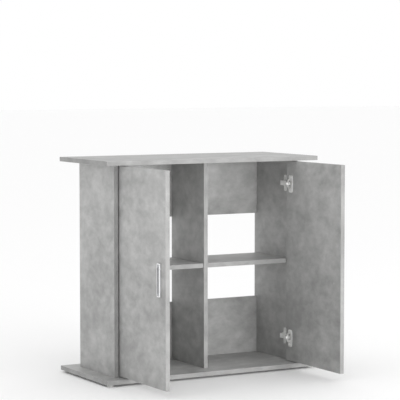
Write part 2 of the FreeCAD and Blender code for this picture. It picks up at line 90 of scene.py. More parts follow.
def start_material(name):
    """A new material with an empty shader, and the place on the piece that patterns are laid by."""
    material = bpy.data.materials.new(name)
    material.use_nodes = True
    tree = material.node_tree
    tree.nodes.clear()
    shader = add(tree, "ShaderNodeBsdfPrincipled")
    add(tree, "ShaderNodeOutputMaterial", {"Surface": shader.outputs["BSDF"]})
    place = add(tree, "ShaderNodeTexCoord").outputs["Object"]
    return material, tree, shader, place


def finish_surface(tree, shader, colour, roughness, height, relief_mm):
    """Joins a material's colour, roughness and relief to its shader."""
    relief = add(tree, "ShaderNodeBump", {"Height": height, "Distance": relief_mm * MM})
    tree.links.new(colour, shader.inputs["Base Color"])
    tree.links.new(roughness, shader.inputs["Roughness"])
    tree.links.new(relief.outputs["Normal"], shader.inputs["Normal"])


def concrete_melamine(name, shift, stretch, painted_light_rise):
    """Chipboard faced with melamine foil that is printed as trowelled concrete. The eye gets a
    neutral grey in clouds two hands wide with smaller ones inside them, darker smudges left by
    the trowel, a few pores and fine grit. The grey is also painted lighter from foot to head by
    the given amount: painted light, for the light that falls brighter on the boards' upper parts.
    The press plate leaves the foil satin, and the grit breaks up its reflections."""
    material, tree, shader, place = start_material(name)
    laid = add(tree, "ShaderNodeMapping", {
        "Vector": place, "Location": shift, "Scale": stretch}).outputs["Vector"]
    clouds = add(tree, "ShaderNodeTexNoise", {
        "Vector": laid, "Scale": per_metre(170), "Detail": 6, "Roughness": 0.6, "Distortion": 0.2})
    patches = add(tree, "ShaderNodeTexNoise", {
        "Vector": laid, "Scale": per_metre(34), "Detail": 3, "Roughness": 0.6, "Distortion": 0.15})
    grit = add(tree, "ShaderNodeTexNoise", {
        "Vector": place, "Scale": per_metre(2.5), "Detail": 2, "Roughness": 0.6})
    clouded = add(tree, "ShaderNodeMix", {
        "Factor": 0.48, "A": clouds.outputs["Fac"], "B": patches.outputs["Fac"]})
    gritty = add(tree, "ShaderNodeMix", {
        "Factor": 0.1, "A": clouded.outputs["Result"], "B": grit.outputs["Fac"]})
    height = add(tree, "ShaderNodeSeparateXYZ", {"Vector": place})
    # Painted light: each board's grey is made lighter towards its top by the given amount, for the light that
    # falls brighter there.
    painted_height_light = add(tree, "ShaderNodeMapRange", {
        "Value": height.outputs["Z"], "From Min": 0.15, "From Max": 0.62,
        "To Min": -painted_light_rise, "To Max": painted_light_rise})
    tone = add(tree, "ShaderNodeMath", {
        0: gritty.outputs["Result"], 1: painted_height_light.outputs["Result"]}, operation="ADD")
    grey_ramp = add(tree, "ShaderNodeValToRGB", {"Fac": tone.outputs["Value"]}, stops=[
        (0.3, "#8b8b8a"), (0.42, "#9b9b9a"), (0.5, "#a8a8a7"), (0.58, "#b3b3b2"), (0.7, "#c2c2c1")])

    smudges = add(tree, "ShaderNodeTexNoise", {
        "Vector": laid, "Scale": per_metre(62), "Detail": 4, "Roughness": 0.65, "Distortion": 0.6})
    smudge_mask = add(tree, "ShaderNodeMapRange", {
        "Value": smudges.outputs["Fac"], "From Min": 0.54, "From Max": 0.72, "To Max": 0.3})
    smudged = add(tree, "ShaderNodeMix", {
        0: smudge_mask.outputs["Result"], 6: grey_ramp.outputs["Color"], 7: linear("#828281")},
        data_type="RGBA")
    pores = add(tree, "ShaderNodeTexVoronoi", {"Vector": laid, "Scale": per_metre(26)})
    pore_mask = add(tree, "ShaderNodeMapRange", {
        "Value": pores.outputs["Distance"], "From Min": 0.035, "From Max": 0.075,
        "To Min": 0.25, "To Max": 0.0})
    pored = add(tree, "ShaderNodeMix", {
        0: pore_mask.outputs["Result"], 6: smudged.outputs[2], 7: linear("#7c7c7b")},
        data_type="RGBA")

    satin = add(tree, "ShaderNodeMapRange", {
        "Value": gritty.outputs["Result"], "From Min": 0.35, "From Max": 0.65,
        "To Min": 0.44, "To Max": 0.58})
    finish_surface(tree, shader, pored.outputs[2], satin.outputs["Result"],
                   grit.outputs["Fac"], 0.04)
    shader.inputs["IOR"].default_value = 1.48
    return material


def matching_edging():
    """Plastic edging ironed on to the boards' narrow sides. The eye gets the foil's grey a shade
    darker and flatter, which sets every board's edge off from its faces."""
    material, tree, shader, place = start_material("matching_edging")
    clouds = add(tree, "ShaderNodeTexNoise", {
        "Vector": place, "Scale": per_metre(60), "Detail": 4, "Roughness": 0.55})
    grain = add(tree, "ShaderNodeTexNoise", {"Vector": place, "Scale": per_metre(1.2), "Detail": 2})
    grey_ramp = add(tree, "ShaderNodeValToRGB", {"Fac": clouds.outputs["Fac"]}, stops=[
        (0.3, "#898988"), (0.5, "#969695"), (0.7, "#a2a2a1")])
    matt = add(tree, "ShaderNodeMapRange", {
        "Value": grain.outputs["Fac"], "From Min": 0.3, "From Max": 0.7,
        "To Min": 0.5, "To Max": 0.62})
    finish_surface(tree, shader, grey_ramp.outputs["Color"], matt.outputs["Result"],
                   grain.outputs["Fac"], 0.03)
    return material


def zinc_plated_steel():
    """Pressed sheet steel with bright zinc under a clear film. The eye gets a pale, neutral
    metal with soft glints, and the film scatters enough light to keep it pale in the shade."""
    material, tree, shader, place = start_material("zinc_plated_steel")
    clouds = add(tree, "ShaderNodeTexNoise", {"Vector": place, "Scale": per_metre(9), "Detail": 3})
    press_grain = add(tree, "ShaderNodeTexNoise", {
        "Vector": place, "Scale": per_metre(0.8), "Detail": 2})
    zinc = add(tree, "ShaderNodeValToRGB", {"Fac": clouds.outputs["Fac"]}, stops=[
        (0.3, "#ededeb"), (0.7, "#fbfbfa")])
    dulled = add(tree, "ShaderNodeMapRange", {
        "Value": press_grain.outputs["Fac"], "From Min": 0.3, "From Max": 0.7,
        "To Min": 0.42, "To Max": 0.56})
    finish_surface(tree, shader, zinc.outputs["Color"], dulled.outputs["Result"],
                   press_grain.outputs["Fac"], 0.02)
    shader.inputs["Metallic"].default_value = 0.5
    return material


def lacquered_steel():
    """Screw heads lacquered in the boards' grey. The eye gets a smooth, thin paint that nearly
    disappears in the door's inner face, a little glossier than the foil."""
    material, tree, shader, place = start_material("lacquered_steel")
    flow = add(tree, "ShaderNodeTexNoise", {"Vector": place, "Scale": per_metre(3), "Detail": 3})
    paint = add(tree, "ShaderNodeValToRGB", {"Fac": flow.outputs["Fac"]}, stops=[
        (0.3, "#aaaaa9"), (0.7, "#b4b4b3")])
    gloss = add(tree, "ShaderNodeMapRange", {
        "Value": flow.outputs["Fac"], "From Min": 0.3, "From Max": 0.7,
        "To Min": 0.34, "To Max": 0.46})
    finish_surface(tree, shader, paint.outputs["Color"], gloss.outputs["Result"],
                   flow.outputs["Fac"], 0.02)
    return material


def ground_steel():
    """Drawn and ground pin steel. The eye gets fine rings round the pin in a darker, cold metal."""
    material, tree, shader, place = start_material("ground_steel")
    rings = add(tree, "ShaderNodeMapping", {"Vector": place, "Scale": (0.1, 0.1, 1)})
    grinding = add(tree, "ShaderNodeTexNoise", {
        "Vector": rings.outputs["Vector"], "Scale": per_metre(0.3), "Detail": 3})
    steel = add(tree, "ShaderNodeValToRGB", {"Fac": grinding.outputs["Fac"]}, stops=[
        (0.3, "#a6a6a8"), (0.7, "#c4c4c6")])
    polish = add(tree, "ShaderNodeMapRange", {
        "Value": grinding.outputs["Fac"], "From Min": 0.3, "From Max": 0.7,
        "To Min": 0.2, "To Max": 0.34})
    finish_surface(tree, shader, steel.outputs["Color"], polish.outputs["Result"],
                   grinding.outputs["Fac"], 0.005)
    shader.inputs["Metallic"].default_value = 1.0
    return material


def satin_chrome():
    """Zinc casting, brushed along its length and chromed satin. The eye gets the palest metal of
    the cabinet, with a long soft glint."""
    material, tree, shader, place = start_material("satin_chrome")
    along = add(tree, "ShaderNodeMapping", {"Vector": place, "Scale": (1, 1, 0.03)})
    brushing = add(tree, "ShaderNodeTexNoise", {
        "Vector": along.outputs["Vector"], "Scale": per_metre(0.5), "Detail": 3})
    chrome = add(tree, "ShaderNodeValToRGB", {"Fac": brushing.outputs["Fac"]}, stops=[
        (0.3, "#e2e3e4"), (0.7, "#f6f7f8")])
    satin = add(tree, "ShaderNodeMapRange", {
        "Value": brushing.outputs["Fac"], "From Min": 0.3, "From Max": 0.7,
        "To Min": 0.3, "To Max": 0.42})
    finish_surface(tree, shader, chrome.outputs["Color"], satin.outputs["Result"],
                   brushing.outputs["Fac"], 0.01)
    shader.inputs["Metallic"].default_value = 1.0
    return material


def channel_metal_painted_shade():
    """The finger channel's metal, chromed and never brushed, with its grey painted darker: painted
    shade for the shade that falls in the channel. The eye gets a dull, dark band between the
    handle's two bright lips."""
    material, tree, shader, place = start_material("channel_painted_shade")
    skin = add(tree, "ShaderNodeTexNoise", {"Vector": place, "Scale": per_metre(1.5), "Detail": 4})
    metal = add(tree, "ShaderNodeValToRGB", {"Fac": skin.outputs["Fac"]}, stops=[
        (0.3, "#9c9d9f"), (0.7, "#b2b3b6")])
    dull = add(tree, "ShaderNodeMapRange", {
        "Value": skin.outputs["Fac"], "From Min": 0.3, "From Max": 0.7,
        "To Min": 0.5, "To Max": 0.64})
    finish_surface(tree, shader, metal.outputs["Color"], dull.outputs["Result"],
                   skin.outputs["Fac"], 0.05)
    shader.inputs["Metallic"].default_value = 1.0
    return material


def raw_zinc():
    """Die-cast zinc, unplated. The eye gets a dull blue-grey with flow marks."""
    material, tree, shader, place = start_material("raw_zinc")
    flow = add(tree, "ShaderNodeTexNoise", {"Vector": place, "Scale": per_metre(4), "Detail": 4})
    zinc = add(tree, "ShaderNodeValToRGB", {"Fac": flow.outputs["Fac"]}, stops=[
        (0.3, "#85888c"), (0.7, "#a2a5a9")])
    dull = add(tree, "ShaderNodeMapRange", {
        "Value": flow.outputs["Fac"], "From Min": 0.3, "From Max": 0.7,
        "To Min": 0.42, "To Max": 0.58})
    finish_surface(tree, shader, zinc.outputs["Color"], dull.outputs["Result"],
                   flow.outputs["Fac"], 0.05)
    shader.inputs["Metallic"].default_value = 1.0
    return material


def moulded_polyethylene():
    """Moulded natural polyethylene. The eye gets a milky, waxy grey-white that lets a little
    light into its edges."""
    material, tree, shader, place = start_material("moulded_polyethylene")
    flow = add(tree, "ShaderNodeTexNoise", {"Vector": place, "Scale": per_metre(6), "Detail": 2})
    grain = add(tree, "ShaderNodeTexNoise", {"Vector": place, "Scale": per_metre(0.9), "Detail": 2})
    milky = add(tree, "ShaderNodeValToRGB", {"Fac": flow.outputs["Fac"]}, stops=[
        (0.3, "#b4b4b2"), (0.7, "#c6c6c4")])
    waxy = add(tree, "ShaderNodeMapRange", {
        "Value": grain.outputs["Fac"], "From Min": 0.3, "From Max": 0.7,
        "To Min": 0.42, "To Max": 0.55})
    finish_surface(tree, shader, milky.outputs["Color"], waxy.outputs["Result"],
                   grain.outputs["Fac"], 0.02)
    shader.inputs["IOR"].default_value = 1.51
    shader.inputs["Subsurface Weight"].default_value = 0.15
    shader.inputs["Subsurface Radius"].default_value = (0.002, 0.002, 0.002)
    return material


def turned_beech():
    """Turned beech dowel. The eye gets pink-brown wood with short dark flecks along the grain."""
    material, tree, shader, place = start_material("turned_beech")
    along = add(tree, "ShaderNodeMapping", {"Vector": place, "Scale": (1, 1, 0.15)})
    flecks = add(tree, "ShaderNodeTexNoise", {
        "Vector": along.outputs["Vector"], "Scale": per_metre(1.2), "Detail": 4})
    wood = add(tree, "ShaderNodeValToRGB", {"Fac": flecks.outputs["Fac"]}, stops=[
        (0.3, "#b98d62"), (0.7, "#d8b186")])
    sanded = add(tree, "ShaderNodeMapRange", {
        "Value": flecks.outputs["Fac"], "From Min": 0.3, "From Max": 0.7,
        "To Min": 0.55, "To Max": 0.7})
    finish_surface(tree, shader, wood.outputs["Color"], sanded.outputs["Result"],
                   flecks.outputs["Fac"], 0.05)
    return material


def pale_paper():
    """The studio's floor. The eye gets an even, matt white with the faintest tooth."""
    material, tree, shader, place = start_material("pale_paper")
    tooth = add(tree, "ShaderNodeTexNoise", {"Vector": place, "Scale": per_metre(4), "Detail": 2})
    white = add(tree, "ShaderNodeValToRGB", {"Fac": tooth.outputs["Fac"]}, stops=[
        (0.3, "#fbfbfb"), (0.7, "#fdfdfd")])
    matt = add(tree, "ShaderNodeMapRange", {
        "Value": tooth.outputs["Fac"], "To Min": 0.85, "To Max": 0.95})
    finish_surface(tree, shader, white.outputs["Color"], matt.outputs["Result"],
                   tooth.outputs["Fac"], 0.01)
    return material


# ------------------------------------------------------- shapes, built in millimetres
def turned(profile, steps=48):
    """A turned solid about +Z from (radius, height) points."""
    shape = bmesh.new()
    rings = []
    for radius, height in profile:
        if radius == 0:
            rings.append([shape.verts.new((0, 0, height))])
            continue
        angles = [2 * math.pi * step / steps for step in range(steps)]
        rings.append([shape.verts.new((radius * math.cos(a), radius * math.sin(a), height))
                      for a in angles])
    for lower, upper in zip(rings, rings[1:]):
        for step in range(steps):
            following = (step + 1) % steps
            corners = [lower[step % len(lower)], lower[following % len(lower)],
                       upper[following % len(upper)], upper[step % len(upper)]]
            distinct = list(dict.fromkeys(corners))
            if len(distinct) > 2:
                shape.faces.new(distinct)
    bmesh.ops.recalc_face_normals(shape, faces=shape.faces[:])
    return shape


def arc(centre, radius, start_degrees, end_degrees, steps=6):
    """Points of an arc in the plane."""
    points = []
    for step in range(steps + 1):
        angle = math.radians(start_degrees + (end_degrees - start_degrees) * step / steps)
        points.append((centre[0] + radius * math.cos(angle), centre[1] + radius * math.sin(angle)))
    return points


def rounded(corners, radii, steps=5):
    """An outline whose corners are replaced by arcs. A radius of 0 keeps the corner."""
    points = []
    count = len(corners)
    for index in range(count):
        before = Vector(corners[index - 1])
        corner = Vector(corners[index])
        after = Vector(corners[(index + 1) % count])
        radius = radii[index] if isinstance(radii, (list, tuple)) else radii
        if radius == 0:
            points.append(tuple(corner))
            continue
        towards_before = (before - corner).normalized()
        towards_after = (after - corner).normalized()
        half = math.acos(max(-1, min(1, towards_before.dot(towards_after)))) / 2
        middle = corner + (towards_before + towards_after).normalized() * radius / math.sin(half)
        first = corner + towards_before * radius / math.tan(half) - middle
        turn = first.angle_signed(corner + towards_after * radius / math.tan(half) - middle)
        for step in range(steps + 1):
            points.append(tuple(middle + Matrix.Rotation(-turn * step / steps, 2) @ first))
    return points


def slab(outline, low, high):
    """A flat outline given thickness along +Z."""
    shape = bmesh.new()
    floor = [shape.verts.new((x, y, low)) for x, y in outline]
    top = [shape.verts.new((x, y, high)) for x, y in outline]
    shape.faces.new(floor)
    shape.faces.new(top)
    for index in range(len(outline)):
        after = (index + 1) % len(outline)
        shape.faces.new((floor[index], floor[after], top[after], top[index]))
    bmesh.ops.recalc_face_normals(shape, faces=shape.faces[:])
    return shape


def cuboid(low, high):
    outline = [(low[0], low[1]), (high[0], low[1]), (high[0], high[1]), (low[0], high[1])]
    return slab(outline, low[2], high[2])


def soften(shape, width, steps=3, sharper_than=30):
    """Rounds the edges that are sharper than an angle in degrees."""
    edges = [edge for edge in shape.edges
             if edge.is_manifold and edge.calc_face_angle(0) > math.radians(sharper_than)]
    bmesh.ops.bevel(shape, geom=edges, offset=width, segments=steps, profile=0.5,
                    affect="EDGES", clamp_overlap=True)
    return shape


def moved(shape, matrix):
    shape.transform(matrix)
    if matrix.determinant() < 0:
        bmesh.ops.reverse_faces(shape, faces=shape.faces[:])
    return shape


def pointed(direction):
    """The turn that takes +Z to a direction."""
    return UP.rotation_difference(Vector(direction)).to_matrix().to_4x4()


def gathered(shapes):
    """Several separate shapes as one."""
    whole = bmesh.new()
    for shape in shapes:
        mesh = bpy.data.meshes.new("part")
        shape.to_mesh(mesh)
        shape.free()
        whole.from_mesh(mesh)
        bpy.data.meshes.remove(mesh)
    return whole


def carved(shape, tool, operation="DIFFERENCE"):
    """A boolean of two closed shapes."""
    pair = []
    for part in (shape, tool):
        mesh = bpy.data.meshes.new("carving")
        part.to_mesh(mesh)
        part.free()
        holder = bpy.data.objects.new("carving", mesh)
        bpy.context.scene.collection.objects.link(holder)
        pair.append(holder)
    modifier = pair[0].modifiers.new("carve", "BOOLEAN")
    modifier.operation = operation
    modifier.object = pair[1]
    modifier.solver = "EXACT"
    depsgraph = bpy.context.evaluated_depsgraph_get()
    result = bmesh.new()
    result.from_mesh(bpy.data.meshes.new_from_object(pair[0].evaluated_get(depsgraph)))
    bmesh.ops.dissolve_degenerate(result, dist=0.002, edges=result.edges[:])
    for holder in pair:
        mesh = holder.data
        bpy.data.objects.remove(holder)
        bpy.data.meshes.remove(mesh)
    return result


def piece(name, shape, material, body, slot, *stands_for):
    """Makes a shape, given in millimetres in the row frame, a piece of the object."""
    shape.transform(Matrix.Scale(MM, 4))
    mesh = bpy.data.meshes.new(name)
    shape.to_mesh(mesh)
    shape.free()
    mesh.materials.append(material)
    mesh.polygons.foreach_set("use_smooth", [True] * len(mesh.polygons))
    mesh.set_sharp_from_angle(angle=math.radians(50))
    thing = bpy.data.objects.new(name, mesh)
    bpy.context.scene.collection.objects.link(thing)
    flat_first = thing.modifiers.new("flat faces stay flat", "WEIGHTED_NORMAL")
    flat_first.keep_sharp = True
    depsgraph = bpy.context.evaluated_depsgraph_get()
    final = bpy.data.meshes.new_from_object(thing.evaluated_get(depsgraph))
    thing.modifiers.clear()
    thing.data = final
    bpy.data.meshes.remove(mesh)
    final.name = name
    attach(thing, body)
    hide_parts(*stands_for)
    return thing


# --------------------------------------------------------------- places from the frame
def box_mm(node):
    low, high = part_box(node)
    return low / MM, high / MM


def solids_of(node):
    """The box of each separate solid of a node, in millimetres, in a fixed order."""
    shape = bmesh.new()
    shape.from_mesh(frame["nodes"][node].data)
    bmesh.ops.remove_doubles(shape, verts=shape.verts[:], dist=0.002 * MM)
    unseen = set(shape.verts)
    boxes = []
    while unseen:
        front = [unseen.pop()]
        corners = []
        while front:
            vertex = front.pop()
            corners.append(vertex.co / MM)
            for edge in vertex.link_edges:
                other = edge.other_vert(vertex)
                if other in unseen:
                    unseen.remove(other)
                    front.append(other)
        low = Vector([min(corner[axis] for corner in corners) for axis in range(3)])
        high = Vector([max(corner[axis] for corner in corners) for axis in range(3)])
        boxes.append((low, high))
    shape.free()
    return sorted(boxes, key=lambda box: tuple(round(value, 1) for value in (*box[0], *box[1])))


def middle(box):
    return (box[0] + box[1]) / 2


pivots = {joint["child"]: Vector(joint["pos_m"]) / MM for joint in frame["joints"]}
body_of = {node: body for body, nodes in frame["record"]["behaviour"]["bodies"].items()
           for node in nodes}


# ------------------------------------------------------------------------- the boards
EDGE_SOFTNESS = 0.7
SCREW_HEAD = 5
SCREW_HEAD_TALL = 3
CUP_RADIUS = 17.5
# How much lighter the boards' grey is painted at their heads than at their feet: painted light.
PAINTED_LIGHT_RISE = 0.055


def counterbore(centre, direction, radius, depth):
    """A tool for a round hole of a given depth, from a point on the surface inwards."""
    tool = turned([(0, -1), (radius, -1), (radius, depth), (0, depth)])
    return moved(tool, Matrix.Translation(centre) @ pointed(direction))


def board(name, node, foil, edging, holes=()):
    """A board with foil on its two broad faces and edging on its four narrow sides."""
    low, high = box_mm(node)
    shape = soften(cuboid(low, high), EDGE_SOFTNESS)
    if holes:
        shape = carved(shape, gathered(holes))
    thin = min(range(3), key=lambda axis: high[axis] - low[axis])
    shape.normal_update()
    for face in shape.faces:
        spot = face.calc_center_median()
        at_rim = any(min(spot[axis] - low[axis], high[axis] - spot[axis]) < EDGE_SOFTNESS
                     for axis in range(3) if axis != thin)
        if at_rim and abs(face.normal[thin]) < 0.5:
            face.material_index = 1
    made = piece(name, shape, foil, body_of[node], "melamine_board", node)
    made.data.materials.append(edging)


def board_materials():
    """Every board is cut from another place of the foil, its marks drawn out along the roll:
    the stretch of the print, and how much painted light makes it lighter from foot to head."""
    upright = ((1, 0.7, 1), PAINTED_LIGHT_RISE)
    across = ((0.7, 1, 1), PAINTED_LIGHT_RISE)
    lying = ((0.7, 1, 1), 0)
    cuts = {
        "base_panel": lying, "top_panel": lying, "left_shelf": lying, "right_shelf": lying,
        "lower_back_board": lying, "upper_back_board": across,
        "left_side_panel": upright, "right_side_panel": upright, "centre_divider": upright,
        "left_door_panel": upright, "right_door_panel": upright,
    }
    foils = {}
    for index, (node, (stretch, painted_light_rise)) in enumerate(cuts.items()):
        shift = (1.7 * index, 0.9 * index, 2.3 * index)
        foils[node] = concrete_melamine("concrete_melamine_" + node, shift, stretch, painted_light_rise)
    return foils


def make_boards(edging):
    foil = board_materials()
    base_holes = [counterbore((middle(box)[0], middle(box)[1], box[0][2]), UP, SCREW_HEAD,
                              SCREW_HEAD_TALL)
                  for box in solids_of("base_screws")]
    board("base_board", "base_panel", foil["base_panel"], edging, base_holes)
    board("top_board", "top_panel", foil["top_panel"], edging)
    for node in ("left_side_panel", "right_side_panel", "centre_divider", "left_shelf",
                 "right_shelf"):
        board(node + "_board", node, foil[node], edging)
    rear_screws = solids_of("divider_screws")
    for node in ("lower_back_board", "upper_back_board"):
        low, high = box_mm(node)
        holes = [counterbore((middle(box)[0], box[1][1], middle(box)[2]), FRONT_DIRECTION,
                             SCREW_HEAD, SCREW_HEAD_TALL)
                 for box in rear_screws if low[2] < middle(box)[2] < high[2]]
        board(node.replace("_board", "_strip"), node, foil[node], edging, holes)
    for side in SIDES:
        make_door(side, foil[f"{side}_door_panel"], edging)


def make_door(side, foil, edging):
    """A door with the round seats of its hinge cups and of its handle's screw heads."""
    inwards = Vector((-1 if side == "left" else 1, 0, 0))
    low, high = box_mm(f"{side}_door_panel")
    inner_face = high[0] if side == "left" else low[0]
    holes = []
    for level in LEVELS:
        cup = box_mm(f"{side}_{level}_hinge_cup")
        cup_depth = abs(inner_face - (cup[0][0] if side == "left" else cup[1][0]))
        cup_y = cup[1][1] - CUP_RIM_RADIUS
        holes.append(counterbore((inner_face, cup_y, middle(cup)[2]), inwards, CUP_RADIUS,
                                 cup_depth))
    for screw in solids_of(f"{side}_handle_screws"):
        holes.append(counterbore((inner_face, middle(screw)[1], middle(screw)[2]), inwards,
                                 SMALL_HEAD, SMALL_HEAD_TALL))
    board(f"{side}_door_board", f"{side}_door_panel", foil, edging, holes)


# ------------------------------------------------------------------------- fasteners
SMALL_HEAD = 4
SMALL_HEAD_TALL = 1.2
SMALL_SHANK = 1.75


def cross_tool(width, blade, depth):
    """The tool for a cross recess, from just above a head's top down into it."""
    bars = []
    for turn in (0, 90):
        bar = cuboid((-width / 2, -blade / 2, -depth), (width / 2, blade / 2, 1))
        bars.append(moved(bar, Matrix.Rotation(math.radians(turn), 4, "Z")))
    return carved(bars[0], bars[1], "UNION")


def small_screw(length):
    """Pan-head screw with a cross recess: its head stands on z = 0 and its shank goes down."""
    top = SMALL_HEAD_TALL
    dome = [(0, top), (2.2, top), (3.2, top * 0.86), (3.8, top * 0.45), (SMALL_HEAD, 0.1),
            (SMALL_HEAD, 0)]
    shank = [(SMALL_SHANK, 0), (SMALL_SHANK, 1.5 - length), (0.3, -length), (0, -length)]
    shape = turned(dome + shank, steps=32)
    return carved(shape, moved(cross_tool(3.6, 0.9, 0.9), Matrix.Translation((0, 0, top))))


def flush_small_screw(length):
    """The handle's screw: a flat head below z = 0 that ends flush, with a cross recess."""
    head = [(0, 0), (3.6, 0), (SMALL_HEAD, -0.3), (SMALL_HEAD, -SMALL_HEAD_TALL)]
    shank = [(2, -SMALL_HEAD_TALL), (2, 1 - length), (1.2, -length), (0, -length)]
    return carved(turned(head + shank, steps=32), cross_tool(3.6, 0.9, 0.8))


def carcass_screw(length):
    """Screw for board edges: a flat head with a hexagon socket, flush with z = 0, shank down."""
    head = [(0, 0), (SCREW_HEAD - 0.5, 0), (SCREW_HEAD, -0.5), (SCREW_HEAD, -SCREW_HEAD_TALL + 0.4)]
    neck = [(SCREW_HEAD - 0.6, -SCREW_HEAD_TALL), (3, -SCREW_HEAD_TALL)]
    tip = [(3, 4 - length), (1, -length), (0, -length)]
    shape = turned(head + neck + tip, steps=32)
    socket = turned([(0, 1), (2.3, 1), (2.3, -2.4), (0, -2.4)], steps=6)
    return carved(shape, socket)


def make_carcass_screws(steel):
    below = []
    for low, high in solids_of("base_screws"):
        centre = (low + high) / 2
        place = Matrix.Translation((centre[0], centre[1], low[2])) @ pointed(DOWN)
        below.append(moved(carcass_screw(high[2] - low[2]), place))
    piece("base_screw_set", gathered(below), steel, "cabinet", "plated_steel", "base_screws")
    behind = []
    for low, high in solids_of("divider_screws"):
        centre = (low + high) / 2
        place = Matrix.Translation((centre[0], high[1], centre[2])) @ pointed(BACK_DIRECTION)
        behind.append(moved(carcass_screw(high[1] - low[1]), place))
    piece("divider_screw_set", gathered(behind), steel, "cabinet", "plated_steel", "divider_screws")


def make_cover_caps(foil):
    """Foil discs with a pressed edge. Each lies across its thin direction."""
    discs = []
    for low, high in solids_of("cam_cover_caps"):
        size = high - low
        thin = min(range(3), key=lambda axis: size[axis])
        thick = size[thin]
        radius = max(size) / 2
        disc = turned([(0, 0), (radius, 0), (radius, thick * 0.45), (radius - 0.25, thick * 0.9),
                       (radius - 0.8, thick), (0, thick)])
        centre = (low + high) / 2
        if thin == 1:
            direction, start = Vector((0, 1, 0)), Vector((centre[0], low[1], centre[2]))
        elif centre[0] < -20 or 0 < centre[0] < 20:
            direction, start = Vector((1, 0, 0)), Vector((low[0], centre[1], centre[2]))
        else:
            direction, start = Vector((-1, 0, 0)), Vector((high[0], centre[1], centre[2]))
        discs.append(moved(disc, Matrix.Translation(start) @ pointed(direction)))
    piece("cover_cap_set", gathered(discs), foil, "cabinet", "cap_foil", "cam_cover_caps")


def make_shelf_pins(steel):
    """Round pins with chamfered ends and a grip ring beside the board."""
    for side in SIDES:
        pins = []
        for low, high in solids_of(f"{side}_shelf_pins"):
            radius = (high[2] - low[2]) / 2
            length = high[0] - low[0]
            profile = [(0, 0), (radius - 0.5, 0), (radius, 0.5), (radius, length * 0.5 - 0.4),
                       (radius - 0.3, length * 0.5), (radius, length * 0.5 + 0.4),
                       (radius, length - 0.5), (radius - 0.5, length), (0, length)]
            start = Vector((low[0], (low[1] + high[1]) / 2, (low[2] + high[2]) / 2))
            place = Matrix.Translation(start) @ pointed((1, 0, 0))
            pins.append(moved(turned(profile, steps=32), place))
        piece(f"{side}_shelf_pin_set", gathered(pins), steel, "cabinet", "plated_steel",
              f"{side}_shelf_pins")


def make_feet(plastic):
    top = box_mm("base_panel")[0][2]
    for node in ("front_left_foot", "front_right_foot", "rear_left_foot", "rear_right_foot",
                 "centre_foot"):
        low, high = box_mm(node)
        radius = (high[0] - low[0]) / 2
        tread_curve = 1.6
        tread = [(0, 0)] + arc((radius - tread_curve, tread_curve), tread_curve, -90, 0)
        shoulder = [(radius, top - 0.8), (radius - 0.4, top - 0.1), (radius - 0.8, top)]
        peg = [(3, top), (2.5, top + 0.5), (2.5, high[2] - 1), (1.5, high[2]), (0, high[2])]
        centre = ((low[0] + high[0]) / 2, (low[1] + high[1]) / 2, 0)
        shape = moved(turned(tread + shoulder + peg), Matrix.Translation(centre))
        piece(node + "_glide", shape, plastic, "cabinet", "foot_plastic", node)


# ---------------------------------------------------------------------------- hinges
# The hinge's own frame: millimetres, origin on the pin at the hinge's mid height, +X towards
# the middle of the cabinet, +Y to the back. Right-hand hinges are its mirror image. The flat
# extents that a node's box shows are read from the left lower hinge. Round sizes are given,
# because the box of a faceted solid falls a few microns short of them.
HINGE_LEVEL = middle(box_mm("left_lower_hinge_pin"))[2]
HINGE_ORIGIN = Vector((pivots["left_door"][0], pivots["left_door"][1], HINGE_LEVEL))


def from_pin(node):
    """A node's box in the left lower hinge's own frame."""
    low, high = box_mm(node)
    return low - HINGE_ORIGIN, high - HINGE_ORIGIN


CUP_LOW, CUP_HIGH = from_pin("left_lower_hinge_cup")
ARM_LOW, ARM_HIGH = from_pin("left_lower_hinge_arm")
PLATE_LOW, PLATE_HIGH = from_pin("left_lower_hinge_plate")
PIN_HALF = from_pin("left_lower_hinge_pin")[1][2]

SHEET = 2
FACE = from_pin("left_door_panel")[1][0]
FLANGE_TOP = CUP_HIGH[0]
CUP_FLOOR = CUP_LOW[0]
CUP_Y = -12.5
CUP_RIM_RADIUS = 19
CUP_WALL = 1.5
CUP_BASE = 1.2
FLANGE_BEHIND_CUP = 6
FLANGE_Y = CUP_Y - FLANGE_BEHIND_CUP
FLANGE_WIDE = 25
FLANGE_TALL = CUP_HIGH[2] - CUP_LOW[2]
PANEL_FACE = PLATE_LOW[0]
WEB_INNER = PLATE_HIGH[0]
WEB_OUTER = WEB_INNER + SHEET
CHEEK_LIFT = ARM_LOW[0]
HOOK_X = ARM_HIGH[0] - SHEET / 2
CROSSING_Y = 14
ARM_END = ARM_HIGH[1]
ARM_HALF = ARM_HIGH[2]
EYE_RADIUS = 2.4
EYE_HALF = 4
PIN_RADIUS = 1.25
PIN_PLAY = 0.05
WING_HALF = PLATE_HIGH[2]
WING_Y = 44.5
SPINE_START = PLATE_LOW[1]
THROUGH_X = pointed((1, 0, 0))


def hinge_place(side, level):
    """Takes the hinge's own frame to the row frame."""
    pivot = pivots[side + "_door"]
    height = middle(box_mm(f"{side}_{level}_hinge_pin"))[2]
    place = Matrix.Translation((pivot[0], pivot[1], height))
    if side == "right":
        place = place @ Matrix.Scale(-1, 4, (1, 0, 0))
    return place


def flange_outline():
    """The flange from the front, lying down: its height along X and its width along Y."""
    front = FLANGE_Y - FLANGE_WIDE / 2
    back = FLANGE_Y + FLANGE_WIDE / 2
    top = FLANGE_TALL / 2
    return rounded([(-top, front), (top, front), (top, back), (-top, back)], 6)


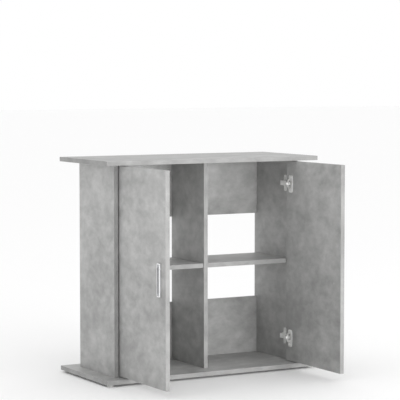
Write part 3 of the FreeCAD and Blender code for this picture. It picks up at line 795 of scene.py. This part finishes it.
def cup_shape():
    """Drawn steel cup with a rolled lip, and its flange with the seats of two screws."""
    strip = soften(slab(flange_outline(), FACE, FLANGE_TOP), 0.4, steps=2)
    floor = CUP_FLOOR
    inner = CUP_RADIUS - CUP_WALL
    outside = [(0, floor)] + arc((CUP_RADIUS - 2.5, floor + 2.5), 2.5, -90, 0)
    lip = [(CUP_RADIUS, FACE), (CUP_RIM_RADIUS, FACE), (CUP_RIM_RADIUS, FLANGE_TOP - 0.5),
           (CUP_RIM_RADIUS - 0.5, FLANGE_TOP), (0, FLANGE_TOP)]
    drum = moved(turned(outside + lip, steps=72), Matrix.Translation((0, CUP_Y, 0)))
    solid = carved(drum, strip, "UNION")
    floor_arc = arc((inner - 2, floor + CUP_BASE + 2), 2, -90, 0)
    mouth = [(inner, FLANGE_TOP - 0.6), (inner + 0.6, FLANGE_TOP), (inner + 0.6, FLANGE_TOP + 2)]
    hollow = turned([(0, floor + CUP_BASE)] + floor_arc + mouth + [(0, FLANGE_TOP + 2)], steps=72)
    shell = carved(solid, moved(hollow, Matrix.Translation((0, CUP_Y, 0))))
    return moved(shell, THROUGH_X)


def swept_strip(path, half_heights, thickness):
    """A strip that follows a path in the XY plane, standing in Z, its height set per point."""
    shape = bmesh.new()
    sections = []
    for index, point in enumerate(path):
        here = Vector(point)
        before = Vector(path[max(index - 1, 0)])
        after = Vector(path[min(index + 1, len(path) - 1)])
        along = (after - before).normalized()
        across = Vector((-along[1], along[0])) * thickness / 2
        half = half_heights[index]
        corners = [(here + across, -half), (here - across, -half), (here - across, half),
                   (here + across, half)]
        sections.append([shape.verts.new((flat[0], flat[1], height)) for flat, height in corners])
    for first, second in zip(sections, sections[1:]):
        for corner in range(4):
            following = (corner + 1) % 4
            shape.faces.new((first[corner], first[following], second[following], second[corner]))
    shape.faces.new(sections[0])
    shape.faces.new(sections[-1])
    bmesh.ops.recalc_face_normals(shape, faces=shape.faces[:])
    return shape


def arm_shape():
    """Bent arm: the eye round the pin, the hook out of the cup and round the door's edge, and
    the channel that lies over the mounting plate's ridge."""
    web_x = (WEB_INNER + WEB_OUTER) / 2
    bend = 3
    hook = rounded([(0, 0), (HOOK_X, 0), (HOOK_X, CROSSING_Y), (web_x + 1, CROSSING_Y)],
                   [0, bend, bend, 0], steps=6)
    widening = [min(max((y - 6) / 4, 0), 1) for _, y in hook]
    half_heights = [EYE_HALF + (ARM_HALF - EYE_HALF) * share for share in widening]
    strip = soften(swept_strip(hook, half_heights, SHEET), 0.35, steps=2)
    channel_outline = [(CHEEK_LIFT, CROSSING_Y + 3), (WEB_INNER, CROSSING_Y - 1),
                       (WEB_OUTER, CROSSING_Y - 1), (WEB_OUTER, ARM_END), (CHEEK_LIFT, ARM_END)]
    channel = slab(rounded(channel_outline, [3, 0.5, 1.5, 1.5, 2]), -ARM_HALF, ARM_HALF)
    cheek = 1.5
    inside = cuboid((PANEL_FACE, CROSSING_Y + 1.2, cheek - ARM_HALF),
                    (WEB_INNER, ARM_END + 2, ARM_HALF - cheek))
    channel = carved(soften(channel, 0.5, steps=2), inside)
    eye = turned([(0, -EYE_HALF), (EYE_RADIUS, -EYE_HALF), (EYE_RADIUS, EYE_HALF), (0, EYE_HALF)],
                 steps=32)
    whole = carved(carved(strip, channel, "UNION"), eye, "UNION")
    bore = PIN_RADIUS + PIN_PLAY
    past = ARM_HALF + 1
    return carved(whole, turned([(0, -past), (bore, -past), (bore, past), (0, past)], steps=32))


def plate_shape():
    """Cross-shaped mounting plate with rounded wings, and the ridge that the arm clamps to."""
    wing = WING_HALF
    waist = 10
    tip = 7
    root = 9
    corners = [(-wing, WING_Y - tip), (-waist, WING_Y - root), (-waist, SPINE_START),
               (waist, SPINE_START), (waist, WING_Y - root), (wing, WING_Y - tip),
               (wing, WING_Y + tip), (waist, WING_Y + root), (waist, ARM_END), (-waist, ARM_END),
               (-waist, WING_Y + root), (-wing, WING_Y + tip)]
    radii = [5, 2, 3, 3, 2, 5, 5, 2, 3, 3, 2, 5]
    base = soften(slab(rounded(corners, radii), PANEL_FACE, PANEL_FACE + SHEET), 0.4, steps=2)
    ridge = cuboid((-6, SPINE_START + 1, PANEL_FACE), (6, ARM_END - 1, WEB_INNER))
    spine = soften(ridge, 0.8, steps=2)
    return moved(carved(base, spine, "UNION"), THROUGH_X)


def pin_shape():
    """A pin with chamfered ends."""
    ends = [(0, -PIN_HALF), (PIN_RADIUS - 0.3, -PIN_HALF), (PIN_RADIUS, 0.3 - PIN_HALF)]
    return turned(ends + [(radius, -height) for radius, height in reversed(ends)], steps=32)


def make_hinges(steel, pin_steel):
    shapes = (("cup", cup_shape, steel, "plated_steel"),
              ("arm", arm_shape, steel, "plated_steel"),
              ("plate", plate_shape, steel, "plated_steel"),
              ("pin", pin_shape, pin_steel, "pin_steel"))
    for side in SIDES:
        for level in LEVELS:
            for kind, build, material, slot in shapes:
                node = f"{side}_{level}_hinge_{kind}"
                shape = moved(build(), hinge_place(side, level))
                piece(node + "_part", shape, material, body_of[node], slot, node)


def make_hinge_screws(steel):
    """Pan heads towards the middle of the cabinet, shanks into the side panel or the door."""
    groups = [("hinge_plate_screws", "cabinet"), ("hinge_arm_screws", "cabinet"),
              ("left_cup_screws", "left_door"), ("right_cup_screws", "right_door")]
    for node, body in groups:
        screws = []
        for low, high in solids_of(node):
            centre = (low + high) / 2
            on_left = centre[0] < 0
            seat = high[0] - SMALL_HEAD_TALL if on_left else low[0] + SMALL_HEAD_TALL
            length = high[0] - low[0] - SMALL_HEAD_TALL
            inwards = (1 if on_left else -1, 0, 0)
            place = Matrix.Translation((seat, centre[1], centre[2])) @ pointed(inwards)
            screws.append(moved(small_screw(length), place))
        piece(node.replace("screws", "screw_set"), gathered(screws), steel, body, "plated_steel",
              node)


# --------------------------------------------------------------------------- handles
CHANNEL_HALF_WIDE = 4.5
CHANNEL_HALF_TALL = 43
CHANNEL_DEEP = 4
BAND_DEEP = 0.5
BAND_FROM_END = 3


def upright_outline(half_wide, half_tall, radius):
    """An upright oblong with rounded corners."""
    return rounded([(-half_wide, -half_tall), (half_wide, -half_tall), (half_wide, half_tall),
                    (-half_wide, half_tall)], radius)


def handle_shape(wide, tall, reach):
    """A low handle lying on its back: a finger channel, and a shallow band that carries its line
    on to the ends. The channel and the band take the handle's second material, a darker metal
    that paints the shade in the channel."""
    body = soften(slab(upright_outline(wide / 2, tall / 2, 2), 0, reach), 0.9, sharper_than=60)
    channel = slab(upright_outline(CHANNEL_HALF_WIDE, CHANNEL_HALF_TALL, 3),
                   reach - CHANNEL_DEEP, reach + 3)
    band = slab(upright_outline(CHANNEL_HALF_WIDE, tall / 2 - BAND_FROM_END, 1),
                reach - BAND_DEEP, reach + 3)
    shape = carved(carved(body, soften(channel, 0.8, sharper_than=60)), band)
    shape = soften_rim(shape, reach)
    # The faces in the channel and the band take the second material, whose darker grey is painted shade for the
    # channel's hollow.
    for face in shape.faces:
        spot = face.calc_center_median()
        within = abs(spot[0]) < CHANNEL_HALF_WIDE + 0.3 and abs(spot[1]) < tall / 2 - 2.5
        if within and 0.5 < spot[2] < reach - 0.35:
            face.material_index = 1
    return shape


def make_handles(chrome, painted_shade_metal, lacquered):
    """Channel handles on the doors' outer faces, with their screws through from the inner face."""
    for side in SIDES:
        low, high = box_mm(f"{side}_handle")
        outwards = -1 if side == "left" else 1
        reach, wide, tall = high - low
        foot = high[0] if side == "left" else low[0]
        place = Matrix.Translation((foot, (low[1] + high[1]) / 2, (low[2] + high[2]) / 2))
        upright = Matrix(((0, 0, outwards, 0), (1, 0, 0, 0), (0, 1, 0, 0), (0, 0, 0, 1)))
        shape = moved(handle_shape(wide, tall, reach), place @ upright)
        handle = piece(f"{side}_handle_channel", shape, chrome, f"{side}_door", "handle_metal",
                       f"{side}_handle")
        # The second material's darker grey is painted shade in the channel.
        handle.data.materials.append(painted_shade_metal)
        screws = []
        for screw_low, screw_high in solids_of(f"{side}_handle_screws"):
            centre = (screw_low + screw_high) / 2
            head_face = screw_high[0] if side == "left" else screw_low[0]
            seat = Matrix.Translation((head_face, centre[1], centre[2]))
            screw = flush_small_screw(screw_high[0] - screw_low[0])
            screws.append(moved(screw, seat @ pointed((-outwards, 0, 0))))
        piece(f"{side}_handle_screw_set", gathered(screws), lacquered, f"{side}_door",
              "plated_steel", f"{side}_handle_screws")


def soften_rim(shape, height):
    """Rounds the sharp inner rim at the top of the handle."""
    edges = [edge for edge in shape.edges
             if edge.is_manifold and edge.calc_face_angle(0) > math.radians(60)
             and all(abs(vertex.co[2] - height) < 0.01 for vertex in edge.verts)]
    bmesh.ops.bevel(shape, geom=edges, offset=0.3, segments=2, profile=0.5, affect="EDGES",
                    clamp_overlap=True)
    return shape


# --------------------------------------------------------- inner pieces that stay as made
def dress(node, material):
    """Gives a CAD node its material."""
    thing = frame["nodes"][node]
    thing.data.materials.clear()
    thing.data.materials.append(material)


# -------------------------------------------------------------------- camera and studio
CAMERA_PLACE = (-2.9097, -5.2188, 1.0188)
CAMERA_TURN = 29.485
CAMERA_DIP = 4.133
LENS = 157.3


def make_camera():
    lens = bpy.data.cameras.new("camera")
    lens.lens = LENS
    lens.sensor_width = 36
    lens.clip_end = 200
    camera = bpy.data.objects.new("camera", lens)
    camera.location = CAMERA_PLACE
    camera.rotation_euler = (math.radians(90 - CAMERA_DIP), 0, math.radians(-CAMERA_TURN))
    bpy.context.scene.collection.objects.link(camera)
    bpy.context.scene.camera = camera


def soft_box(name, place, aim, size, power):
    light = bpy.data.lights.new(name, "AREA")
    light.shape = "RECTANGLE"
    light.size, light.size_y = size
    light.energy = power
    lamp = bpy.data.objects.new(name, light)
    lamp.location = place
    lamp.rotation_euler = (Vector(aim) - Vector(place)).to_track_quat("-Z", "Y").to_euler()
    bpy.context.scene.collection.objects.link(lamp)


def make_studio():
    """White room: an even dome, a large box in front and a pale floor without a horizon."""
    world = bpy.data.worlds.new("white_room")
    bpy.context.scene.world = world
    world.use_nodes = True
    tree = world.node_tree
    tree.nodes.clear()
    dome = add(tree, "ShaderNodeBackground", {"Color": linear("#ffffff"), "Strength": 1.0})
    output = add(tree, "ShaderNodeOutputWorld")
    tree.links.new(dome.outputs[0], output.inputs["Surface"])

    middle_of_cabinet = (0, -0.1, 0.37)
    soft_box("front_box", (0.7, -5.2, 0.8), middle_of_cabinet, (3.0, 1.5), 142)

    floor_mesh = bpy.data.meshes.new("studio_floor")
    shape = bmesh.new()
    bmesh.ops.create_grid(shape, x_segments=1, y_segments=1, size=40)
    shape.to_mesh(floor_mesh)
    shape.free()
    floor = bpy.data.objects.new("studio_floor", floor_mesh)
    bpy.context.scene.collection.objects.link(floor)
    floor_mesh.materials.append(pale_paper())
    view = bpy.context.scene.view_settings
    view.view_transform = "Standard"
    view.look = "None"


# -------------------------------------------------------------------------- the object
make_camera()
make_studio()
plated = zinc_plated_steel()
make_boards(matching_edging())
make_feet(moulded_polyethylene())
make_hinges(plated, ground_steel())
make_hinge_screws(plated)
make_handles(satin_chrome(), channel_metal_painted_shade(), lacquered_steel())
make_carcass_screws(plated)
make_cover_caps(concrete_melamine("cover_cap_foil", (4.1, 3.3, 2.2), (1, 1, 1), PAINTED_LIGHT_RISE))
make_shelf_pins(plated)
dress("wood_dowels", turned_beech())
dress("cam_bolts", plated)
dress("cam_discs", raw_zinc())
